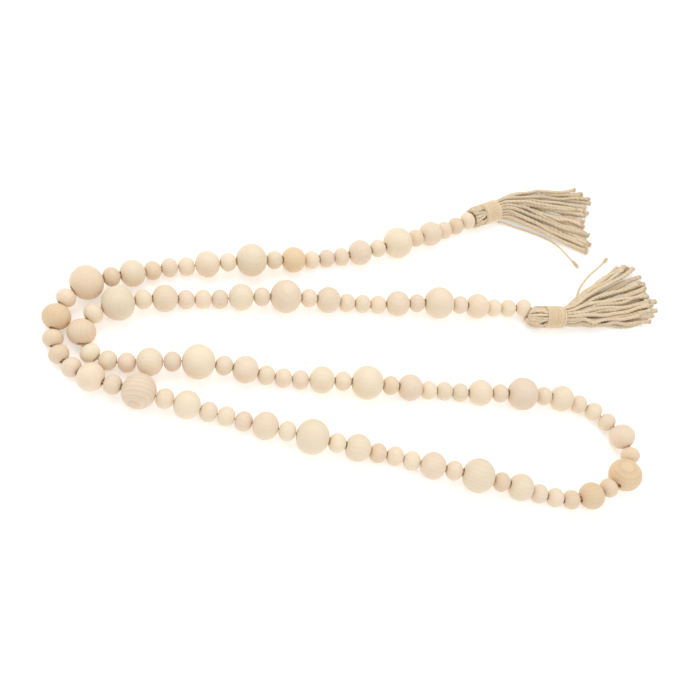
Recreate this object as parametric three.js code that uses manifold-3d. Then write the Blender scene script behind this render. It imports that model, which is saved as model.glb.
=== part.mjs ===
// A garland of turned wooden beads on jute twine, with a jute tassel at each end, laid down in
// a folded double loop. Millimetres, +Z up, the surface it lies on is z = 0.
import * as THREE from "three";
import { mergeVertices } from "three/addons/utils/BufferGeometryUtils.js";
import Module from "manifold-3d";

const wasm = await Module();
wasm.setup();

// Driving dimensions
const GAP = 0.3; // clearance between neighbouring pieces
const FLAT = 0.3; // depth of the flat spot that a bead rests on
const BORE = 2.1; // radius of the thread hole
const COLLAR = 2.9; // radius of the rim where two beads of one set join
const TWINE = { radius: 0.65, sides: 6 };
const SINGLE_HEIGHT = 8.6; // centre of a small bead held between a medium and a large one
const END_HEIGHTS = { first: 6.6, last: 7.5 }; // centres of the beads that meet the tassels

// Each bead is slightly shorter along its hole than it is wide.
const BEADS = {
  small: { radius: 5.75, half: 5.09, sides: 8, steps: 4 },
  medium: { radius: 8, half: 7.45, sides: 8, steps: 4 },
  large: { radius: 10, half: 9.44, sides: 8, steps: 6 },
};

// The string repeats small, medium, three small, medium, small between its large beads.
const LARGE_COUNT = 13;
const END_RUN = ["small", "small", "small", "medium", "small"];
const BETWEEN = ["small", "medium", "small", "small", "small", "medium", "small"];

// How finely the route is walked, and how often the spacing is fitted to the beads' tilt
const WALK = { points: 4000, passes: 4 };

// Where the string lies, as plan points from the first tassel to the second.
const ROUTE = [
  [61, 76], [31, 58], [8, 45.5], [-16, 35.5], [-37, 29], [-58, 23], [-84, 17], [-110, 11],
  [-131, 6.5], [-153, -3], [-176.5, -14.5], [-186, -26], [-189, -38], [-189, -50], [-184, -60],
  [-176, -67], [-164, -73], [-138, -79], [-112, -83], [-90, -86.5], [-67.5, -91],
  [-41.5, -95.5], [-15, -98.5], [7.5, -100.5], [29, -105], [54, -109], [81, -113],
  [104, -116.5], [115, -116.5], [126.5, -113.5], [137, -108], [148.5, -98.8], [154, -86],
  [151, -73.5], [144, -64], [136, -57.5], [126, -53.5], [113.5, -52], [86, -53], [60, -54.5],
  [38.5, -55], [15, -56.5], [-11, -57.5], [-37, -58], [-60, -58.5], [-82, -57], [-108.5, -56.5],
  [-135.5, -59], [-148, -60], [-158, -60], [-168, -56.8], [-174.2, -47], [-171, -35],
  [-158.8, -26], [-145.5, -20.5], [-133, -17], [-112, -13], [-90, -9.5], [-63.5, -6], [-37, -3],
  [-15, -1], [7, 1], [34, 4.5], [59.5, 7], [82.5, 10.5], [93.5, 11], [105, 11.5],
];

// Tassel sizes, along its axis from the top of the head
const TASSEL = {
  height: 7.2, // of its axis above the surface
  head: { length: 10, radius: 7.4, crown: [[0, 0], [4.4, 0.6], [6.5, 3], [7.4, 6.5]], step: 2 },
  neck: { length: 14.6, radius: 5.6 },
  root: { length: 2.2, radius: 6.9 },
  wrap: { inner: 5.9, outer: 7.5, length: 14, edge: [0.5, 1.5] },
  nest: { clearance: 0.6, sides: 16, rings: 10 }, // the hollow round the last bead
  hole: { radius: 1.3, sides: 8 }, // for the twine
  anchor: 9, // depth at which the twine is tied
  sides: 10,
  rows: [4, 5, 6, 5, 4], // strands in the neck, row by row from below
  pitch: 2.4, // between strands of a row in the neck
  rise: 2.3, // from row to row
  strand: { root: 0.95, body: 1.4, widens: 0.35, buried: 1.2, sides: 3, segments: 6 },
  uneven: { by: 2, turn: 2.4, less: 1 }, // how the strands' cut lengths differ
  control: 23, // how far a strand keeps its first heading
};

// Each tassel's wrap starts at a plan point. Angles are in degrees from +X; the fan's two
// sides are given right side first.
const TASSELS = [
  {
    name: "a", wrapStart: [70.6, 82.1], heading: 30, leave: [-14, 45], fan: [-20, 26],
    lengths: [66, 69, 67, 65, 71, 78, 73],
  },
  {
    name: "b", wrapStart: [107.9, 6.5], heading: 8, leave: [5, 50], fan: [5, 47],
    lengths: [61.5, 72, 75, 73, 76.5, 78, 71],
  },
];
// Layers that the strands settle into: rows taken from the neck, the height they lie at, and
// the stretch of their length over which they come down to it
const LAYERS = [
  { rows: [0, 1, 2], height: 0.7, settle: [0.25, 0.88] },
  { rows: [3, 4], height: 3.1, settle: [0.25, 0.88] },
];

// Loose ends of the cords that bind the necks, as points from the wrap to the frayed tip
const LOOSE = { radius: 0.75, sides: 8, steps: 17 };
const LOOSE_ROUTES = {
  a: [
    [85.5, 82.4, 2.6], [89.2, 83.1, 1.8], [92.9, 82.7, 1.2], [96.9, 81.7, 0.9],
    [101.4, 80.9, 0.76], [105.9, 80.1, 0.76], [110.3, 79, 0.76], [114.7, 77.8, 0.76],
    [119, 76.5, 0.76], [123.2, 74.8, 0.76], [127.2, 72.6, 0.76], [130.6, 69.8, 0.76],
    [133.6, 66.6, 0.76], [136.4, 63.2, 0.76], [139, 59.8, 0.76], [141.6, 56.4, 0.76],
  ],
  b: [
    [119.8, 15.5, 2.6], [123.6, 16.6, 1.8], [127.4, 18.6, 1.2], [130.9, 21.2, 0.9],
    [134, 24.3, 0.76], [136.4, 27.8, 0.76], [138.2, 31.5, 0.76], [139.8, 35.2, 0.76],
    [141.9, 39.2, 0.76], [144.8, 43.4, 0.76], [148, 47.6, 0.76], [151.6, 51.6, 0.76],
    [155.2, 55.2, 0.76], [158.8, 58.6, 0.76], [162.2, 62.2, 0.76], [165.4, 66, 0.76],
  ],
};

// Finishes
const WOOD = { tones: [0xecd2a8, 0xf0dab6, 0xe2bf90], roughness: 0.62 };
const TWINE_FINISH = { colour: 0xd9c29a, roughness: 0.9 };
const YARN_FINISH = { colour: 0xdcc6a0, roughness: 0.95 };

const UP = new THREE.Vector3(0, 0, 1);
const RADIANS = Math.PI / 180;

const mix = (a, b, t) => a + (b - a) * t;
const heading = (degrees) =>
  new THREE.Vector3(Math.cos(degrees * RADIANS), Math.sin(degrees * RADIANS), 0);
const smooth = (t) => THREE.MathUtils.smoothstep(t, 0, 1);

// Solids

function solid(geometry) {
  const bare = geometry.clone();
  bare.deleteAttribute("normal");
  bare.deleteAttribute("uv");
  const merged = mergeVertices(bare, 1e-4);
  return new wasm.Manifold(new wasm.Mesh({
    numProp: 3,
    vertProperties: new Float32Array(merged.attributes.position.array),
    triVerts: new Uint32Array(merged.index.array),
  }));
}

function geometryOf(body) {
  const { vertProperties, triVerts } = body.getMesh();
  const geometry = new THREE.BufferGeometry();
  geometry.setAttribute("position", new THREE.BufferAttribute(vertProperties, 3));
  geometry.setIndex(new THREE.BufferAttribute(triVerts, 1));
  return geometry;
}

// What lies below the surface is cut off, which leaves the flat spots.
const ground = (() => {
  const slab = new THREE.BoxGeometry(500, 400, 20);
  slab.translate(0, 0, -10);
  return solid(slab);
})();

// The local frame of a round piece: its axis is local Y, and local Z points down.
function frameAlong(centre, axis) {
  const along = axis.clone().normalize();
  const down = UP.clone().addScaledVector(along, -UP.dot(along)).normalize().negate();
  const side = new THREE.Vector3().crossVectors(along, down);
  return new THREE.Matrix4().makeBasis(side, along, down).setPosition(centre);
}

// Beads on the string

const rimOf = (bead, radius) => bead.half * Math.sqrt(1 - (radius / bead.radius) ** 2);

// How far a bead reaches towards its neighbour when its axis is turned away by an angle
function reach(bead, angle) {
  const rim = rimOf(bead, BORE) * Math.cos(angle) + BORE * Math.sin(angle);
  const round = Math.hypot(bead.radius * Math.sin(angle), bead.half * Math.cos(angle));
  const touches = (bead.radius ** 2 * Math.sin(angle)) / round;
  return touches > BORE ? round : rim;
}

function beadNames() {
  const names = [...END_RUN, "large"];
  for (let i = 1; i < LARGE_COUNT; i += 1) names.push(...BETWEEN, "large");
  return [...names, ...END_RUN.toReversed()];
}

function heightOf(names, i) {
  if (i === 0) return END_HEIGHTS.first;
  if (i === names.length - 1) return END_HEIGHTS.last;
  const held = names[i] === "small" && [names[i - 1], names[i + 1]].includes("large");
  return held ? SINGLE_HEIGHT : BEADS[names[i]].radius - FLAT;
}

// Sets the beads along the route, each one touching distance from the last.
function layBeads(names, line, distances) {
  const centres = [new THREE.Vector3(line[0].x, line[0].y, heightOf(names, 0))];
  let k = 1;
  for (let i = 1; i < names.length; i += 1) {
    const from = centres[i - 1];
    const z = heightOf(names, i);
    const run = Math.sqrt(distances[i - 1] ** 2 - (z - from.z) ** 2);
    const away = (p) => Math.hypot(p.x - from.x, p.y - from.y);
    while (k < line.length - 1 && away(line[k]) < run) k += 1;
    const t = (run - away(line[k - 1])) / (away(line[k]) - away(line[k - 1]));
    const at = new THREE.Vector3().lerpVectors(line[k - 1], line[k], t);
    centres.push(at.setZ(z));
  }
  return centres;
}

function axesOf(centres) {
  return centres.map((_, i) => {
    const before = centres[Math.max(0, i - 1)];
    const after = centres[Math.min(centres.length - 1, i + 1)];
    return new THREE.Vector3().subVectors(after, before).normalize();
  });
}

function threadBeads() {
  const names = beadNames();
  const points = ROUTE.map(([x, y]) => new THREE.Vector3(x, y, 0));
  const line = new THREE.CatmullRomCurve3(points, false, "centripetal").getPoints(WALK.points);
  let distances = names.slice(1).map((name, i) =>
    reach(BEADS[names[i]], 0) + reach(BEADS[name], 0) + GAP);
  let centres = layBeads(names, line, distances);
  for (let pass = 0; pass < WALK.passes; pass += 1) {
    const axes = axesOf(centres);
    distances = distances.map((_, i) => {
      const link = new THREE.Vector3().subVectors(centres[i + 1], centres[i]);
      const near = reach(BEADS[names[i]], axes[i].angleTo(link));
      return near + reach(BEADS[names[i + 1]], axes[i + 1].angleTo(link)) + GAP;
    });
    centres = layBeads(names, line, distances);
  }
  const axes = axesOf(centres);
  return names.map((name, i) => ({ name, size: BEADS[name], centre: centres[i], axis: axes[i] }));
}

// One bead, or a set of neighbours joined at their rims, turned as one closed profile. Each
// ring of the profile is then carried to the place of the bead that owns it.
function beadSet(beads, origin) {
  const sides = Math.max(...beads.map((bead) => bead.size.sides));
  const rings = [];
  beads.forEach(({ size }, i) => {
    const first = i === 0 ? BORE : COLLAR;
    const last = i === beads.length - 1 ? BORE : COLLAR;
    const from = Math.asin(first / size.radius);
    const to = Math.PI - Math.asin(last / size.radius);
    for (let step = 0; step <= size.steps; step += 1) {
      const angle = mix(from, to, step / size.steps);
      rings.push({ owner: i, r: size.radius * Math.sin(angle), y: -size.half * Math.cos(angle) });
    }
  });
  for (let i = beads.length - 1; i > 0; i -= 1) {
    rings.push({ owner: i, r: BORE, y: -rimOf(beads[i].size, BORE) - GAP / 2 });
  }
  rings.push(rings[0]);
  const profile = rings.map(({ r, y }) => new THREE.Vector2(r, y));
  const geometry = new THREE.LatheGeometry(profile, sides);
  const frames = beads.map(({ centre, axis }) =>
    frameAlong(new THREE.Vector3().subVectors(centre, origin), axis));
  const position = geometry.attributes.position;
  const point = new THREE.Vector3();
  for (let v = 0; v < position.count; v += 1) {
    point.fromBufferAttribute(position, v);
    point.applyMatrix4(frames[rings[v % rings.length].owner]);
    position.setXYZ(v, point.x, point.y, point.z);
  }
  return solid(geometry).subtract(ground.translate(0, 0, -origin.z));
}

function addMesh(parent, name, geometry, { colour, roughness }) {
  const material = new THREE.MeshStandardMaterial({ color: colour, roughness, metalness: 0 });
  material.name = name;
  const mesh = new THREE.Mesh(geometry, material);
  mesh.name = name;
  parent.add(mesh);
  return mesh;
}

function beadMeshes(parent, beads) {
  const counts = { large_set: 0, medium_bead: 0, small_set: 0 };
  const add = (kind, set) => {
    counts[kind] += 1;
    const origin = set[Math.floor(set.length / 2)].centre;
    const name = `${kind}_${String(counts[kind]).padStart(2, "0")}`;
    const colour = WOOD.tones[(counts[kind] * 2 + kind.length) % WOOD.tones.length];
    const geometry = geometryOf(beadSet(set, origin));
    addMesh(parent, name, geometry, { ...WOOD, colour }).position.copy(origin);
  };
  beads.forEach(({ name }, i) => {
    const sides = [beads[i - 1]?.name, beads[i + 1]?.name];
    if (name === "large") add("large_set", beads.slice(i - 1, i + 2));
    if (name === "medium") add("medium_bead", [beads[i]]);
    if (name !== "small") return;
    const middle = sides.every((side) => side === "small");
    if (middle) add("small_set", beads.slice(i - 1, i + 2));
  });
}

// Cords

// A path that is sampled at exactly the points it was given
class StationPath extends THREE.Curve {
  constructor(stations) {
    super();
    this.stations = stations;
  }

  getPoint(t, target = new THREE.Vector3()) {
    const last = this.stations.length - 1;
    const k = Math.min(last - 1, Math.floor(t * last + 1e-6));
    return target.lerpVectors(this.stations[k], this.stations[k + 1], t * last - k);
  }

  getPointAt(u, target) {
    return this.getPoint(u, target);
  }

  getTangentAt(u, target = new THREE.Vector3()) {
    const half = 0.5 / (this.stations.length - 1);
    const before = this.getPoint(Math.max(0, u - half));
    const after = this.getPoint(Math.min(1, u + half));
    return target.subVectors(after, before).normalize();
  }
}

function cordGeometry(path, { radius, sides }, steps) {
  const section = new THREE.Shape();
  for (let i = 0; i < sides; i += 1) {
    const angle = (2 * Math.PI * i) / sides;
    section[i ? "lineTo" : "moveTo"](radius * Math.cos(angle), radius * Math.sin(angle));
  }
  section.closePath();
  return new THREE.ExtrudeGeometry(section, { steps, extrudePath: path, curveSegments: 1 });
}

function stringStations(beads) {
  const stations = [];
  for (let i = 0; i + 1 < beads.length; i += 1) {
    const [a, b] = [beads[i], beads[i + 1]];
    const leaves = a.centre.clone().addScaledVector(a.axis, rimOf(a.size, BORE));
    const enters = b.centre.clone().addScaledVector(b.axis, -rimOf(b.size, BORE));
    stations.push(leaves.lerp(enters, 0.5));
  }
  return stations;
}

// Tassels

function tasselFrame({ wrapStart, heading: angle }) {
  const axis = heading(angle);
  const start = new THREE.Vector3(...wrapStart, TASSEL.height);
  return { axis, top: start.addScaledVector(axis, -TASSEL.head.length) };
}

const turned = (profile, centre, axis) => {
  const points = profile.map(([r, y]) => new THREE.Vector2(r, y));
  const geometry = new THREE.LatheGeometry(points, TASSEL.sides);
  return geometry.applyMatrix4(frameAlong(centre, axis));
};

function headSolid(tassel) {
  const { axis, top } = tasselFrame(tassel);
  const { head, neck, root } = TASSEL;
  const neckEnd = head.length + neck.length;
  const rootEnd = neckEnd + root.length;
  return solid(turned([
    ...head.crown, [head.radius, head.length - head.step],
    [neck.radius, head.length - GAP], [neck.radius, neckEnd],
    [root.radius, neckEnd + GAP], [root.radius, rootEnd], [0, rootEnd],
  ], top, axis));
}

// The last bead nests in the folded yarn, and the twine goes on through a hole beyond it.
function nestSolid(tassel, lastBead, stringEnd) {
  const { axis, top } = tasselFrame(tassel);
  const { nest, hole, anchor } = TASSEL;
  const hollow = lastBead.size.radius + nest.clearance;
  const ball = new THREE.SphereGeometry(hollow, nest.sides, nest.rings);
  ball.translate(...lastBead.centre);
  const end = top.clone().addScaledVector(axis, anchor + 2 * GAP);
  const run = new THREE.Vector3().subVectors(end, stringEnd);
  const bore = new THREE.CylinderGeometry(hole.radius, hole.radius, run.length(), hole.sides);
  bore.applyMatrix4(frameAlong(stringEnd.clone().lerp(end, 0.5), run));
  return solid(ball).add(solid(bore));
}

function wrapSolid(tassel) {
  const { axis, top } = tasselFrame(tassel);
  const { wrap, head } = TASSEL;
  const [inward, along] = wrap.edge;
  const start = head.length;
  const end = start + wrap.length;
  return solid(turned([
    [wrap.inner, start], [wrap.outer - inward, start], [wrap.outer, start + along],
    [wrap.outer, end - along], [wrap.outer - inward, end], [wrap.inner, end],
    [wrap.inner, start],
  ], top, axis));
}

// Which strand goes where: its place in the neck, its layer and its share of the fan
function strandPlan() {
  const { rows, pitch, rise } = TASSEL;
  const middle = (rows.length - 1) / 2;
  return LAYERS.flatMap(({ rows: members, height, settle }) => {
    const strands = members.flatMap((row) => Array.from({ length: rows[row] }, (_, i) => {
      const side = (i - (rows[row] - 1) / 2) * pitch;
      return { side, row, rise: (row - middle) * rise, height, settle };
    })).sort((a, b) => a.side - b.side || a.row - b.row);
    return strands.map((strand, i) => ({ ...strand, share: (i + 0.5) / strands.length }));
  });
}

// Lengths change along the fan, and every strand is cut a little unevenly.
function strandLength(lengths, share, i) {
  const at = share * (lengths.length - 1);
  const k = Math.min(lengths.length - 2, Math.floor(at));
  const { by, turn, less } = TASSEL.uneven;
  return mix(lengths[k], lengths[k + 1], at - k) + by * Math.sin(i * turn) - less;
}

// A strand leaves the neck with its own heading, bends into the fan and settles on the rest.
function strandGeometry(tassel, strand, i) {
  const { axis, top } = tasselFrame(tassel);
  const across = new THREE.Vector3().crossVectors(UP, axis);
  const { head, neck, root, control, strand: size } = TASSEL;
  const hub = top.clone().addScaledVector(axis, head.length + neck.length + root.length);
  const start = hub.clone().addScaledVector(across, strand.side);
  const bend = start.clone()
    .addScaledVector(heading(mix(...tassel.leave, strand.share)), control);
  const length = strandLength(tassel.lengths, strand.share, i);
  const tip = hub.clone().addScaledVector(heading(mix(...tassel.fan, strand.share)), length);
  const plan = new THREE.QuadraticBezierCurve3(start, bend, tip);
  const geometry = new THREE.CylinderGeometry(1, 1, 1, size.sides, size.segments);
  const position = geometry.attributes.position;
  const local = new THREE.Vector3();
  for (let v = 0; v < position.count; v += 1) {
    local.fromBufferAttribute(position, v);
    const t = 0.5 - local.y;
    const along = plan.getTangent(t).normalize();
    const left = new THREE.Vector3().crossVectors(UP, along);
    const thick = mix(size.root, size.body, smooth(t / size.widens));
    const settled = smooth((t - strand.settle[0]) / (strand.settle[1] - strand.settle[0]));
    const at = plan.getPoint(t).addScaledVector(along, t > 0 ? 0 : -size.buried);
    at.z = mix(start.z + strand.rise, strand.height, settled);
    at.addScaledVector(left, local.x * thick).addScaledVector(UP, local.z * thick);
    position.setXYZ(v, at.x, at.y, at.z);
  }
  return geometry;
}

function tasselSolid(tassel, lastBead, stringEnd) {
  let body = headSolid(tassel).subtract(nestSolid(tassel, lastBead, stringEnd));
  strandPlan().forEach((strand, i) => {
    body = body.add(solid(strandGeometry(tassel, strand, i)));
  });
  return body.subtract(ground);
}

// The garland

const garland = new THREE.Group();
const beads = threadBeads();
beadMeshes(garland, beads);

const ends = [
  { tassel: TASSELS[0], bead: beads[0], side: -1 },
  { tassel: TASSELS[1], bead: beads.at(-1), side: 1 },
].map(({ tassel, bead, side }) => {
  const { axis, top } = tasselFrame(tassel);
  const mouth = bead.centre.clone().addScaledVector(bead.axis, side * rimOf(bead.size, BORE));
  return { tassel, bead, mouth, anchor: top.addScaledVector(axis, TASSEL.anchor) };
});

const stations = [
  ends[0].anchor, ends[0].mouth, ...stringStations(beads), ends[1].mouth, ends[1].anchor,
];
const string = cordGeometry(new StationPath(stations), TWINE, stations.length - 1);
addMesh(garland, "twine", string, TWINE_FINISH);

ends.forEach(({ tassel, bead, mouth }) => {
  const { name } = tassel;
  const yarn = tasselSolid(tassel, bead, mouth);
  addMesh(garland, `tassel_${name}`, geometryOf(yarn), YARN_FINISH);
  const wrap = wrapSolid(tassel).subtract(ground);
  addMesh(garland, `neck_wrap_${name}`, geometryOf(wrap), TWINE_FINISH);
  const route = LOOSE_ROUTES[name].map((point) => new THREE.Vector3(...point));
  const path = new THREE.CatmullRomCurve3(route, false, "centripetal");
  const loose = cordGeometry(path, LOOSE, LOOSE.steps);
  addMesh(garland, `loose_end_${name}`, loose, TWINE_FINISH);
});

export default garland;
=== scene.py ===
"""A garland of turned wooden beads on jute twine with a tassel at each end, laid in a folded loop.

Every length is in metres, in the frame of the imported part: +Z up, lying on the plane z = 0.
"""
import logging
import math
import random
from collections import Counter
from collections.abc import Callable, Sequence
from dataclasses import dataclass
from enum import Enum
from typing import NamedTuple

import bmesh
import bpy
from mathutils import Matrix, Vector


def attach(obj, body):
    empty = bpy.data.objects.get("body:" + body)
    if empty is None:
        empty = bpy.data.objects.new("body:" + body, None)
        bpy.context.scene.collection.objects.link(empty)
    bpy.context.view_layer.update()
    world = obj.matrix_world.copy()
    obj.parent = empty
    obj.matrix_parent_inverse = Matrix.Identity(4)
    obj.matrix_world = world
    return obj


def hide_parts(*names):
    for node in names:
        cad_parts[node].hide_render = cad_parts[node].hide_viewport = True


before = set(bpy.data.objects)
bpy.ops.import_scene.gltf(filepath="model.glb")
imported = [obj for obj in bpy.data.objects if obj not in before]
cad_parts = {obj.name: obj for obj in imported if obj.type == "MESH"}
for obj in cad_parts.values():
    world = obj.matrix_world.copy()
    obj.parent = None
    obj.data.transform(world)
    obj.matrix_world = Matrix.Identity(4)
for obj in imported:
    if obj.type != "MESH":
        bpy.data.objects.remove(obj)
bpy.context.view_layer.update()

log = logging.getLogger("garland")
ROOT = "root"
UP = Vector((0, 0, 1))
MM = 1000.0  # millimetres in a metre, for patterns that are sized in millimetres
MERGE = 1e-7  # points that are closer than this are joined
NEAR = 1e-6  # lengths that differ by less are the same

Pair = tuple[float, float]
Triple = tuple[float, float, float]
Colour = tuple[float, float, float, float]  # linear red, green and blue, and alpha

# Where the string lies, as plan points from the first tassel to the second
ROUTE = [
    (0.061, 0.076), (0.031, 0.058), (0.008, 0.0455), (-0.016, 0.0355), (-0.037, 0.029),
    (-0.058, 0.023), (-0.084, 0.017), (-0.110, 0.011), (-0.131, 0.0065), (-0.153, -0.003),
    (-0.1765, -0.0145), (-0.186, -0.026), (-0.189, -0.038), (-0.189, -0.050), (-0.184, -0.060),
    (-0.176, -0.067), (-0.164, -0.073), (-0.138, -0.079), (-0.112, -0.083), (-0.090, -0.0865),
    (-0.0675, -0.091), (-0.0415, -0.0955), (-0.015, -0.0985), (0.0075, -0.1005),
    (0.029, -0.105), (0.054, -0.109), (0.081, -0.113), (0.104, -0.1165), (0.115, -0.1165),
    (0.1265, -0.1135), (0.137, -0.108), (0.1485, -0.0988), (0.154, -0.086), (0.151, -0.0735),
    (0.144, -0.064), (0.136, -0.0575), (0.126, -0.0535), (0.1135, -0.052), (0.086, -0.053),
    (0.060, -0.0545), (0.0385, -0.055), (0.015, -0.0565), (-0.011, -0.0575), (-0.037, -0.058),
    (-0.060, -0.0585), (-0.082, -0.057), (-0.1085, -0.0565), (-0.1355, -0.059),
    (-0.148, -0.060), (-0.158, -0.060), (-0.168, -0.0568), (-0.1742, -0.047), (-0.171, -0.035),
    (-0.1588, -0.026), (-0.1455, -0.0205), (-0.133, -0.017), (-0.112, -0.013), (-0.090, -0.0095),
    (-0.0635, -0.006), (-0.037, -0.003), (-0.015, -0.001), (0.007, 0.001), (0.034, 0.0045),
    (0.0595, 0.007), (0.0825, 0.0105), (0.0935, 0.011), (0.105, 0.0115),
]

# The loose ends of the cords that bind the necks, from the wrap to the frayed tip
TAIL_A = [
    (0.0855, 0.0824, 0.0026), (0.0892, 0.0831, 0.0018), (0.0929, 0.0827, 0.0012),
    (0.0969, 0.0817, 0.0009), (0.1014, 0.0809, 0.00076), (0.1059, 0.0801, 0.00076),
    (0.1103, 0.0790, 0.00076), (0.1147, 0.0778, 0.00076), (0.1190, 0.0765, 0.00076),
    (0.1232, 0.0748, 0.00076), (0.1272, 0.0726, 0.00076), (0.1306, 0.0698, 0.00076),
    (0.1336, 0.0666, 0.00076), (0.1364, 0.0632, 0.00076), (0.1390, 0.0598, 0.00076),
    (0.1416, 0.0564, 0.00076),
]
TAIL_B = [
    (0.1198, 0.0155, 0.0026), (0.1236, 0.0166, 0.0018), (0.1274, 0.0186, 0.0012),
    (0.1309, 0.0212, 0.0009), (0.1340, 0.0243, 0.00076), (0.1364, 0.0278, 0.00076),
    (0.1382, 0.0315, 0.00076), (0.1398, 0.0352, 0.00076), (0.1419, 0.0392, 0.00076),
    (0.1448, 0.0434, 0.00076), (0.1480, 0.0476, 0.00076), (0.1516, 0.0516, 0.00076),
    (0.1552, 0.0552, 0.00076), (0.1588, 0.0586, 0.00076), (0.1622, 0.0622, 0.00076),
    (0.1654, 0.0660, 0.00076),
]


def paint(red: int, green: int, blue: int) -> Colour:
    """Turns a colour as seen on screen into the linear values that a shader takes.

    Args:
        red: from 0 to 255.
        green: from 0 to 255.
        blue: from 0 to 255.

    Returns:
        Linear red, green, blue and an alpha of 1.
    """
    linear = [
        (c / 12.92) if c <= 0.04045 else ((c + 0.055) / 1.055) ** 2.4
        for c in (red / 255, green / 255, blue / 255)
    ]
    return (*linear, 1.0)


def mix(a: float, b: float, t: float) -> float:
    """The value a share t of the way from a to b."""
    return a + (b - a) * t


def smooth(t: float) -> float:
    """An S curve from 0 to 1 as t goes from 0 to 1."""
    t = min(1.0, max(0.0, t))
    return t * t * (3 - 2 * t)


def heading(degrees: float) -> Vector:
    """The level direction at an angle from +X."""
    return Vector((math.cos(math.radians(degrees)), math.sin(math.radians(degrees)), 0))


# Paths


def spline(points: Sequence[Vector], count: int) -> list[Vector]:
    """A centripetal Catmull-Rom curve through some points.

    Args:
        points: what the curve passes through.
        count: how many stretches it is divided into.

    Returns:
        count + 1 points along the curve.
    """
    ends = [points[0] * 2 - points[1], *points, points[-1] * 2 - points[-2]]
    curve = []
    for n in range(count + 1):
        place = (len(points) - 1) * n / count
        k = min(len(points) - 2, int(place))
        t = place - k
        p0, p1, p2, p3 = ends[k:k + 4]
        d0, d1, d2 = ((b - a).length ** 0.5 for a, b in ((p0, p1), (p1, p2), (p2, p3)))
        leave = ((p1 - p0) / d0 - (p2 - p0) / (d0 + d1) + (p2 - p1) / d1) * d1
        reach = ((p2 - p1) / d1 - (p3 - p1) / (d1 + d2) + (p3 - p2) / d2) * d1
        squared = (p2 - p1) * 3 - leave * 2 - reach
        cubed = (p1 - p2) * 2 + leave + reach
        curve.append(p1 + leave * t + squared * t ** 2 + cubed * t ** 3)
    return curve


def length_of(line: Sequence[Vector]) -> float:
    """The length of a line of points."""
    return sum((b - a).length for a, b in zip(line, line[1:]))


class Station(NamedTuple):
    """A place on a path and the two directions across it."""

    point: Vector
    side: Vector
    up: Vector


def stations_on(line: Sequence[Vector], steps: int) -> list[Station]:
    """Divides a line into equal steps and carries a frame along it without twist.

    Args:
        line: close points.
        steps: how many steps to make.

    Returns:
        steps + 1 stations.
    """
    step = length_of(line) / steps
    points = [line[0]]
    walked, k = 0.0, 0
    for n in range(1, steps):
        while k < len(line) - 2 and walked + (line[k + 1] - line[k]).length < n * step:
            walked += (line[k + 1] - line[k]).length
            k += 1
        stretch = line[k + 1] - line[k]
        points.append(line[k] + stretch * ((n * step - walked) / stretch.length))
    points.append(line[-1])
    stations = []
    up = UP
    for n, point in enumerate(points):
        along = (points[min(n + 1, steps)] - points[max(n - 1, 0)]).normalized()
        up = (up - along * up.dot(along)).normalized()
        stations.append(Station(point, up.cross(along), up))
    return stations


# Finishes


class Shader:
    """A material's nodes, built up from its Principled shader."""

    def __init__(self, name: str) -> None:
        """Makes an empty material.

        Args:
            name: the material's name.
        """
        self.material = bpy.data.materials.new(name)
        self.material.use_nodes = True
        self.tree = self.material.node_tree
        self.surface = self.tree.nodes["Principled BSDF"]

    def node(self, kind: str, inputs: dict | None = None, **settings: object) -> bpy.types.Node:
        """Adds a node.

        Args:
            kind: the node's type, without ShaderNode in front.
            inputs: a value or another node's output for each input, by name or number.
            settings: the node's own settings.

        Returns:
            The node.
        """
        node = self.tree.nodes.new("ShaderNode" + kind)
        for key, value in settings.items():
            setattr(node, key, value)
        self.feed(node, inputs or {})
        return node

    def feed(self, node: bpy.types.Node, inputs: dict) -> None:
        """Sets or links a node's inputs.

        Args:
            node: the node.
            inputs: a value or another node's output for each input, by name or number.
        """
        for key, value in inputs.items():
            if isinstance(value, bpy.types.NodeSocket):
                self.tree.links.new(value, node.inputs[key])
            else:
                node.inputs[key].default_value = value

    def attribute(self, name: str, output: str = "Fac") -> bpy.types.NodeSocket:
        """The output of a named attribute of the mesh."""
        return self.node("Attribute", attribute_name=name).outputs[output]

    def math(self, operation: str, a: object, b: object) -> bpy.types.NodeSocket:
        """The result of one sum on two values or outputs."""
        return self.node("Math", {0: a, 1: b}, operation=operation).outputs[0]

    def blend(self, factor: object, a: object, b: object, how: str = "MIX") -> bpy.types.NodeSocket:
        """Mixes two colours by a factor."""
        node = self.node("Mix", {0: factor, 6: a, 7: b}, data_type="RGBA", blend_type=how)
        return node.outputs[2]

    def noise(self, place: object, scale: float, detail: float = 3.0) -> bpy.types.NodeSocket:
        """Soft noise at a place."""
        inputs = {"Vector": place, "Scale": scale, "Detail": detail, "Roughness": 0.55}
        return self.node("TexNoise", inputs).outputs["Fac"]

    def stretched(self, place: object, scale: Triple) -> bpy.types.NodeSocket:
        """A place with each of its axes scaled."""
        return self.node("Mapping", {"Vector": place, "Scale": scale}).outputs[0]

    def ranged(self, value: object, within: Pair, onto: Pair = (0.0, 1.0)) -> bpy.types.NodeSocket:
        """A value brought from one range onto another, and kept inside it."""
        ends = {"From Min": within[0], "From Max": within[1], "To Min": onto[0], "To Max": onto[1]}
        return self.node("MapRange", {"Value": value, **ends}).outputs[0]

    def bump(self, height: object, distance: float, strength: float) -> None:
        """Raises the surface by a height pattern of some depth in metres."""
        bump = self.node("Bump", {"Height": height, "Distance": distance, "Strength": strength})
        self.feed(self.surface, {"Normal": bump.outputs[0]})


class WoodTone(Enum):
    """The tones that one batch of pale beads shows."""

    CREAM = paint(236, 220, 194)
    PEACH = paint(236, 217, 192)
    ROSE = paint(234, 214, 192)
    SAND = paint(231, 209, 181)
    HONEY = paint(227, 202, 167)


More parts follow.
